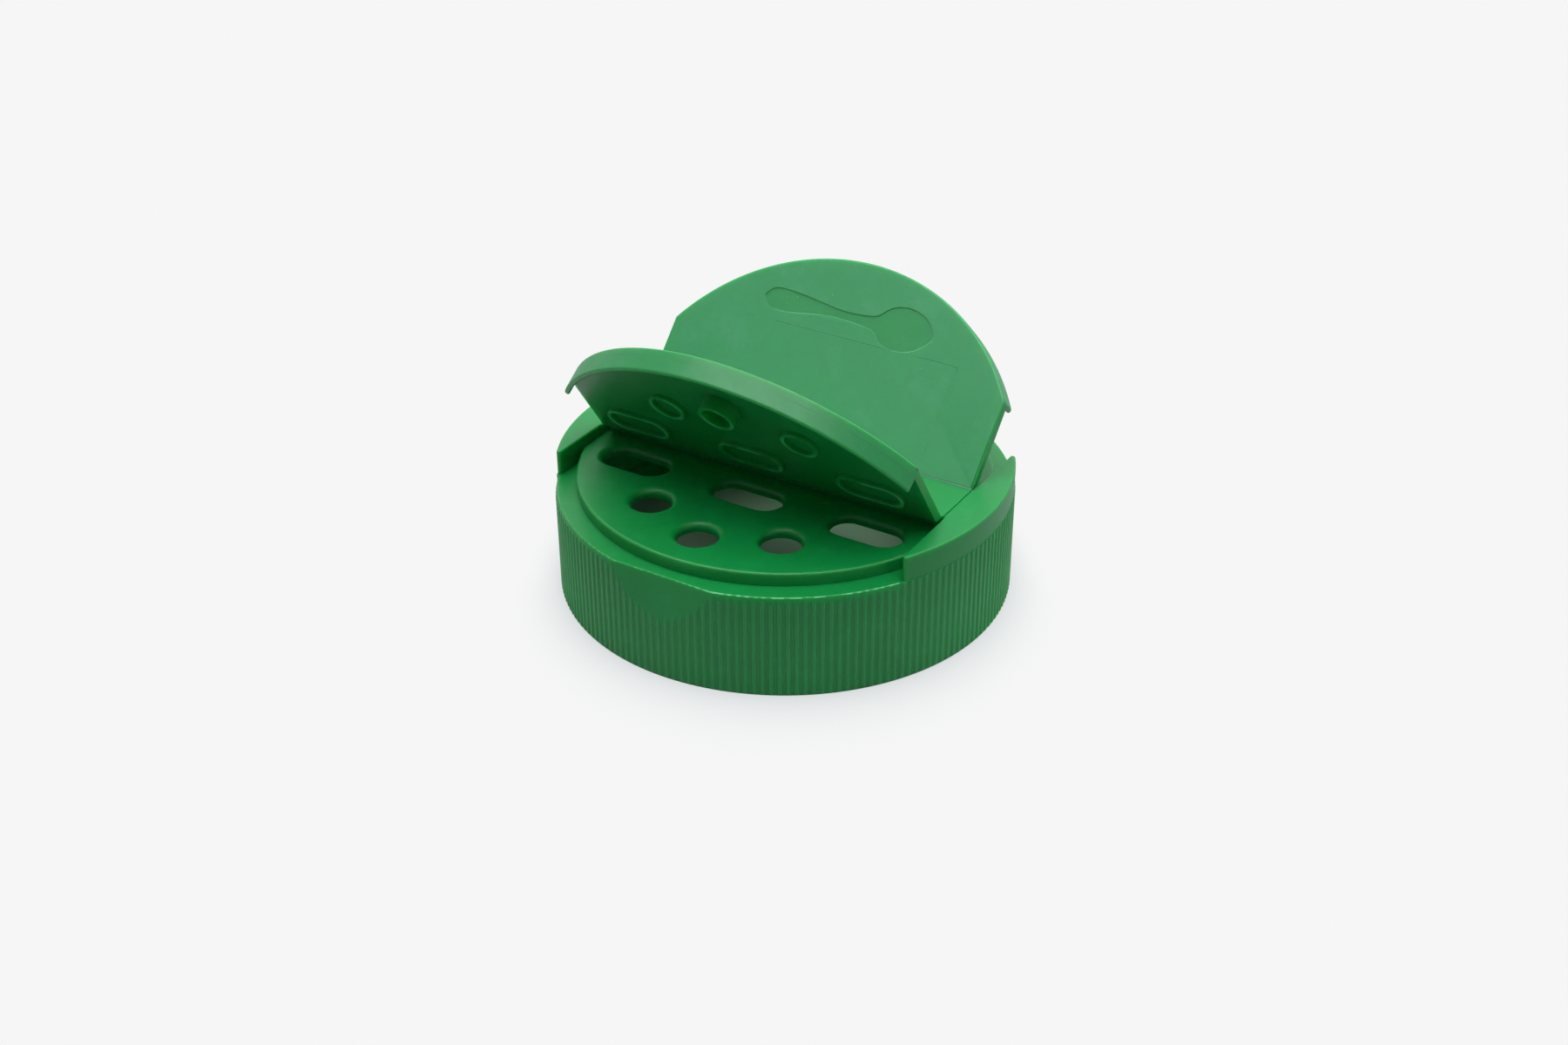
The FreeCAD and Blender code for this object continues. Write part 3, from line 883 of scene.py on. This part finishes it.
@dataclass
class SpoonFlap:
    """The rear flap, with the spoon sign sunk into its top and the mould's witness lines."""

    # A lighter copy of the painted sheen on this flap's top and lip, set for how bright this top shows
    finish: GreenPlastic = GreenPlastic("spoon_flap_plastic", outside=(0.044, 0.322, 0.128),
                                        painted_sheen_pale=(0.066, 0.345, 0.162), flow_scale=46.0,
                                        speck_scale=1300.0, speck_share=0.28, speck_size=0.16)
    hinge: Hinge = REAR_HINGE
    sign_depth: float = 0.12
    cutter_height: float = 0.6
    handle_stub: float = 0.2
    flat_angle: float = 0.2
    weld: float = 0.0001
    parting_depth: float = 1.42
    # Stations along the spoon from handle to bowl: place along the hinge line, upper and lower edge
    stations: tuple[tuple[float, float, float], ...] = (
        (-14.25, 20.45, 19.75), (-13.9, 21.15, 19.05), (-13.2, 21.55, 18.45), (-12.2, 21.70, 18.25),
        (-10.4, 21.65, 18.20), (-8.3, 21.44, 18.48), (-6.3, 21.18, 18.82), (-4.4, 20.87, 19.14),
        (-2.4, 20.58, 19.24), (-0.6, 20.44, 19.22), (1.25, 20.46, 19.08), (3.0, 20.68, 18.92),
        (4.15, 20.84, 18.74), (4.75, 21.20, 18.45), (5.15, 21.74, 17.98), (5.65, 22.30, 17.38),
        (6.4, 22.82, 16.87), (7.6, 23.15, 16.51), (9.0, 23.29, 16.41), (10.4, 23.00, 16.60),
        (11.65, 22.46, 17.09), (12.75, 21.68, 17.90), (13.5, 20.82, 18.78), (13.9, 20.05, 19.45))
    scribes: tuple[Scribe, ...] = (
        Scribe((-16.2, 16.5), (-15.0, 16.5)), Scribe((-11.2, 16.48), (11.1, 16.43)),
        Scribe((12.0, 16.42), (19.15, 16.4)), Scribe((19.15, 16.4), (19.2, 15.5), width=0.09, breaks=0.1),
        Scribe((19.2, 15.5), (18.9, 1.5), breaks=0.44))

    def spoon_shape(self) -> bpy.types.Object:
        """Draw the spoon as a solid that cuts the sign, starting from one small plane.

        Returns:
            The cutter, in the cap's frame.
        """
        (first, upper, lower), *others = self.stations
        bpy.ops.mesh.primitive_plane_add(size=1, location=(0, 0, 0))
        spoon = bpy.context.object
        spoon.name = "spoon_cutter"
        spoon.scale = (self.handle_stub, upper - lower, 1)
        spoon.location = (first - self.handle_stub / 2, (upper + lower) / 2, 0)
        put_down(spoon)
        with editing(spoon):
            select_edges(spoon, lambda spot: spot.x > first - NEAR)
            here, middle, width = first, (upper + lower) / 2, upper - lower
            for along, upper, lower in others:
                step = (along - here, (upper + lower) / 2 - middle, 0)
                bpy.ops.mesh.extrude_region_move(TRANSFORM_OT_translate={"value": step})
                here, middle = along, (upper + lower) / 2
                bpy.ops.transform.resize(value=(1, (upper - lower) / width, 1),
                                         center_override=(here, middle, 0))
                width = upper - lower
        apply_modifier(spoon, "SUBSURF", levels=3, render_levels=3)
        with editing(spoon):
            bpy.ops.mesh.select_all(action="SELECT")
            bpy.ops.mesh.extrude_region_move(TRANSFORM_OT_translate={"value": (0, 0, self.cutter_height)})
            bpy.ops.mesh.select_all(action="SELECT")
            bpy.ops.transform.translate(value=(0, 0, -self.sign_depth))
            bpy.ops.mesh.normals_make_consistent(inside=False)
        turn = Matrix.Diagonal((self.hinge.side, 1, 1, 1))
        spoon.matrix_world = self.hinge.placement() @ turn @ Matrix.Scale(MM, 4)
        put_down(spoon)
        return spoon

    def build(self) -> bpy.types.Object:
        """Sink the sign into a copy of the CAD flap, which the copy then stands for.

        Returns:
            The finished flap.
        """
        flap = frame["nodes"][Portion.SPOON.node].copy()
        flap.data = flap.data.copy()
        flap.name = "spoon_flap_with_sign"
        flap.parent = None
        flap.matrix_world = Matrix.Identity(4)
        bpy.context.scene.collection.objects.link(flap)
        with editing(flap):
            bpy.ops.mesh.select_all(action="SELECT")
            bpy.ops.mesh.remove_doubles(threshold=self.weld * MM)
        cutter = self.spoon_shape()
        apply_modifier(flap, "BOOLEAN", operation="DIFFERENCE", object=cutter, solver="EXACT")
        bpy.data.objects.remove(cutter)
        with editing(flap):
            bpy.ops.mesh.select_all(action="SELECT")
            bpy.ops.mesh.dissolve_limited(angle_limit=math.radians(self.flat_angle))
        smooth(flap)
        apply_modifier(flap, "WEIGHTED_NORMAL", keep_sharp=True, weight=100)
        dress(flap, self.finish.material(self.hinge, self.scribes, self.sign_depth, self.parting_depth))
        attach(flap, Portion.SPOON.body)
        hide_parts(Portion.SPOON.node)
        return flap


@dataclass
class HingeWeb:
    """The thin web that joins one flap to the bar, bent as far as its flap stands open."""

    portion: Portion
    hinge: Hinge
    half_length: float = 27.6
    thickness: float = 0.3
    sunk: float = 0.02
    bar_reach: float = 0.55
    flap_reach: float = 0.55
    tangent: float = 0.2
    arc_steps: int = 8
    stub: float = 0.05
    finish: GreenPlastic = GreenPlastic("hinge_web_plastic", base=(0.006, 0.275, 0.066))

    def path(self) -> list[Vector]:
        """Trace the web's upper face across the hinge.

        Returns:
            Points in the plane across the hinge line, from the bar to the flap.
        """
        opening = math.radians(self.hinge.opening)
        out = Vector((0, self.hinge.side, 0))
        along_flap = out * math.cos(opening) + Vector((0, 0, math.sin(opening)))
        corner = Vector((0, self.hinge.side * self.hinge.offset, self.hinge.level - self.sunk))
        radius = self.tangent / math.tan(opening / 2)
        first = corner - out * self.tangent
        centre = first + Vector((0, 0, radius))
        points = [corner - out * self.bar_reach]
        for step in range(self.arc_steps + 1):
            angle = opening * step / self.arc_steps
            points.append(centre + out * radius * math.sin(angle) - Vector((0, 0, radius * math.cos(angle))))
        points.append(corner + along_flap * self.flap_reach)
        return points

    def build(self) -> bpy.types.Object:
        """Extrude a narrow strip along the path and give it its thickness.

        Returns:
            The finished web.
        """
        points = self.path()
        first, *others = points
        bpy.ops.mesh.primitive_plane_add(size=1, location=(0, 0, 0))
        web = bpy.context.object
        web.name = f"{self.portion.body}_hinge_web"
        web.scale = (2 * self.half_length, self.stub, 1)
        web.location = first - Vector((0, self.hinge.side * self.stub / 2, 0))
        put_down(web)
        with editing(web):
            select_edges(web, lambda spot: self.hinge.side * (spot.y - first.y) > -NEAR)
            here = first
            for point in others:
                bpy.ops.mesh.extrude_region_move(TRANSFORM_OT_translate={"value": point - here})
                here = point
            bpy.ops.mesh.select_all(action="SELECT")
            bpy.ops.mesh.normals_make_consistent(inside=False)
        if sum(face.normal.z for face in web.data.polygons) < 0:
            with editing(web):
                bpy.ops.mesh.select_all(action="SELECT")
                bpy.ops.mesh.flip_normals()
        apply_modifier(web, "SOLIDIFY", thickness=self.thickness, offset=-1.0)
        web.scale = (MM, MM, MM)
        put_down(web)
        smooth(web)
        dress(web, self.finish.material())
        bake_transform(web)
        return web


@dataclass
class NeckThread:
    """The thread ridge inside the skirt, which runs in from the rim and fades at both ends."""

    bore: float = 31.4
    ridge: float = 1.0
    root_width: float = 2.1
    crest_width: float = 0.7
    start_level: float = 2.6
    pitch: float = 4.23
    turns: float = 1.35
    steps: int = 260
    fade_turns: float = 0.06
    end_share: float = 0.1
    seat: float = 0.12
    crest_bevel: float = 0.16
    finish: GreenPlastic = GreenPlastic("thread_plastic")

    def build(self) -> bpy.types.Object:
        """Turn a blunt ridge section round the bore as a helix.

        Returns:
            The finished thread.
        """
        bpy.ops.mesh.primitive_plane_add(size=1, location=(0, 0, 0), rotation=(math.pi / 2, 0, 0))
        thread = bpy.context.object
        thread.name = "neck_thread_ridge"
        thread.scale = (self.ridge + self.seat, self.root_width, 1)
        thread.location = (self.bore + self.seat - (self.ridge + self.seat) / 2, 0, self.start_level)
        put_down(thread)
        inner = self.bore - self.ridge
        with editing(thread):
            select_edges(thread, lambda spot: spot.x < inner + NEAR)
            bpy.ops.transform.resize(value=(1, 1, self.crest_width / self.root_width),
                                     center_override=(inner, 0, self.start_level))
            bpy.ops.mesh.bevel(offset=self.crest_bevel, segments=2, affect="EDGES")
            bpy.ops.mesh.select_all(action="SELECT")
            bpy.ops.mesh.delete(type="ONLY_FACE")
        apply_modifier(thread, "SCREW", axis="Z", angle=2 * math.pi * self.turns, steps=self.steps,
                       render_steps=self.steps, screw_offset=self.pitch * self.turns, use_merge_vertices=True)
        self.fade_ends(thread)
        with editing(thread):
            bpy.ops.mesh.select_all(action="SELECT")
            bpy.ops.mesh.fill_holes(sides=0)
            bpy.ops.mesh.select_all(action="SELECT")
            bpy.ops.mesh.normals_make_consistent(inside=False)
        thread.scale = (MM, MM, MM)
        put_down(thread)
        smooth(thread)
        dress(thread, self.finish.material())
        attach(thread, Portion.CAP.body)
        return thread

    def fade_ends(self, thread: bpy.types.Object) -> None:
        """Sink the ridge into the wall over a short arc at each end.

        Args:
            thread: The helix, in millimetres.
        """
        columns = len(thread.data.vertices) // (self.steps + 1)
        for number, corner in enumerate(thread.data.vertices):
            turn = self.turns * (number // columns) / self.steps
            left = min(turn, self.turns - turn)
            share = min(1.0, left / self.fade_turns)
            radius = math.hypot(corner.co.x, corner.co.y)
            kept = self.end_share + (1 - self.end_share) * share
            wanted = self.bore + self.seat - (self.bore + self.seat - radius) * kept
            corner.co.x *= wanted / radius
            corner.co.y *= wanted / radius


@dataclass
class ShakerCap:
    """The whole cap: three rigid portions, two hinge webs and the thread."""

    body: CapBody = field(default_factory=CapBody)
    sifter: SifterFlap = field(default_factory=SifterFlap)
    spoon: SpoonFlap = field(default_factory=SpoonFlap)
    webs: tuple[HingeWeb, ...] = (HingeWeb(Portion.SIFTER, FRONT_HINGE),
                                  HingeWeb(Portion.SPOON, REAR_HINGE))
    thread: NeckThread = field(default_factory=NeckThread)

    def build(self) -> list[bpy.types.Object]:
        """Build and dress every piece, in order.

        Returns:
            The finished pieces.
        """
        return [self.body.dress(), self.sifter.dress(), self.spoon.build(),
                *(web.build() for web in self.webs), self.thread.build()]


# The studio


@dataclass
class Studio:
    """A pale floor, one very large soft light overhead and a plain white surround."""

    floor_size: float = 6.0
    floor: PaleFloor = PaleFloor()
    top_strength: float = 2.95
    top_angle: float = 68.0
    front_glow: float = 0.13
    back_glow: float = 1.12
    glow_fall: float = 1.3
    glow_colour: Colour = (0.95, 0.98, 1.0)
    back_heading: tuple[float, float, float] = (-0.2, 0.98, 0.0)
    surround: float = 0.921

    def lay_floor(self) -> None:
        """Lay the floor under the cap's rim."""
        clear_selection()
        bpy.ops.mesh.primitive_plane_add(size=self.floor_size, location=(0, 0, 0))
        floor = bpy.context.object
        floor.name = "floor"
        dress(floor, self.floor.material())

    def hang_light(self) -> None:
        """Hang the broad light overhead."""
        lamp = bpy.data.lights.new("overhead_soft_light", "SUN")
        lamp.energy = self.top_strength
        lamp.angle = math.radians(self.top_angle)
        light = bpy.data.objects.new(lamp.name, lamp)
        bpy.context.scene.collection.objects.link(light)

    def set_world(self) -> None:
        """Surround the cap with plain white for the eye and gentle light for the surfaces."""
        world = bpy.data.worlds.new("white_surround")
        bpy.context.scene.world = world
        world.use_nodes = True
        graph = Graph(world.node_tree)
        soft = world.node_tree.nodes["Background"]
        heading = graph.add("ShaderNodeTexCoord").outputs["Generated"]
        behind = graph.scalar("DOT_PRODUCT", heading, self.back_heading)
        behind = graph.math("POWER", graph.math("MULTIPLY_ADD", behind, 0.5, 0.5), self.glow_fall)
        share = graph.math("MULTIPLY_ADD", behind, self.back_glow - self.front_glow, self.front_glow)
        graph.feed(soft, Color=(*self.glow_colour, 1), Strength=share)
        seen = graph.feed(graph.add("ShaderNodeBackground"), Color=(1, 1, 1, 1), Strength=self.surround)
        path = graph.add("ShaderNodeLightPath")
        chosen = graph.math("MAXIMUM", path.outputs["Is Camera Ray"], path.outputs["Is Transmission Ray"])
        sink = world.node_tree.nodes["World Output"].inputs["Surface"]
        graph.join_shaders(chosen, soft.outputs[0], seen.outputs[0], sink)

    def build(self) -> None:
        """Set up the floor, the light and the surround."""
        self.lay_floor()
        self.hang_light()
        self.set_world()
        bpy.context.scene.view_settings.view_transform = "Standard"


@dataclass
class PhotoCamera:
    """The camera at the photograph's place: turned 31 degrees to the right, looking 30 degrees down."""

    elevation: float = 30.40
    azimuth: float = 31.48
    roll: float = -0.20
    focal_pixels: float = 2363.0
    target_offset: tuple[float, float, float] = (0.23, -6.63, -305.1)
    sensor: float = 36.0
    near_clip: float = 0.01

    def build(self) -> None:
        """Place the camera and make it the scene's."""
        rise, turn, roll = (math.radians(angle) for angle in (self.elevation, self.azimuth, self.roll))
        back = Vector((math.sin(turn) * math.cos(rise), -math.cos(turn) * math.cos(rise), math.sin(rise)))
        right = Vector((math.cos(turn), math.sin(turn), 0))
        up = back.cross(right)
        right, up = math.cos(roll) * right + math.sin(roll) * up, math.cos(roll) * up - math.sin(roll) * right
        axes = Matrix((right, up, back)).transposed()
        camera = bpy.data.objects.new("photo_camera", bpy.data.cameras.new("photo_camera"))
        camera.data.sensor_width = self.sensor
        camera.data.lens = self.focal_pixels / PICTURE_WIDTH * self.sensor
        camera.data.clip_start = self.near_clip
        camera.matrix_world = Matrix.Translation(-(axes @ (Vector(self.target_offset) * MM))) @ axes.to_4x4()
        bpy.context.scene.collection.objects.link(camera)
        bpy.context.scene.camera = camera


def main() -> None:
    """Build the cap, the studio and the camera in order, and report each piece."""
    logging.basicConfig(level=logging.INFO, format="%(name)s %(message)s")
    for piece in ShakerCap().build():
        LOG.info("%s: %d faces", piece.name, len(piece.data.polygons))
    Studio().build()
    PhotoCamera().build()


if __name__ == "__main__":
    main()
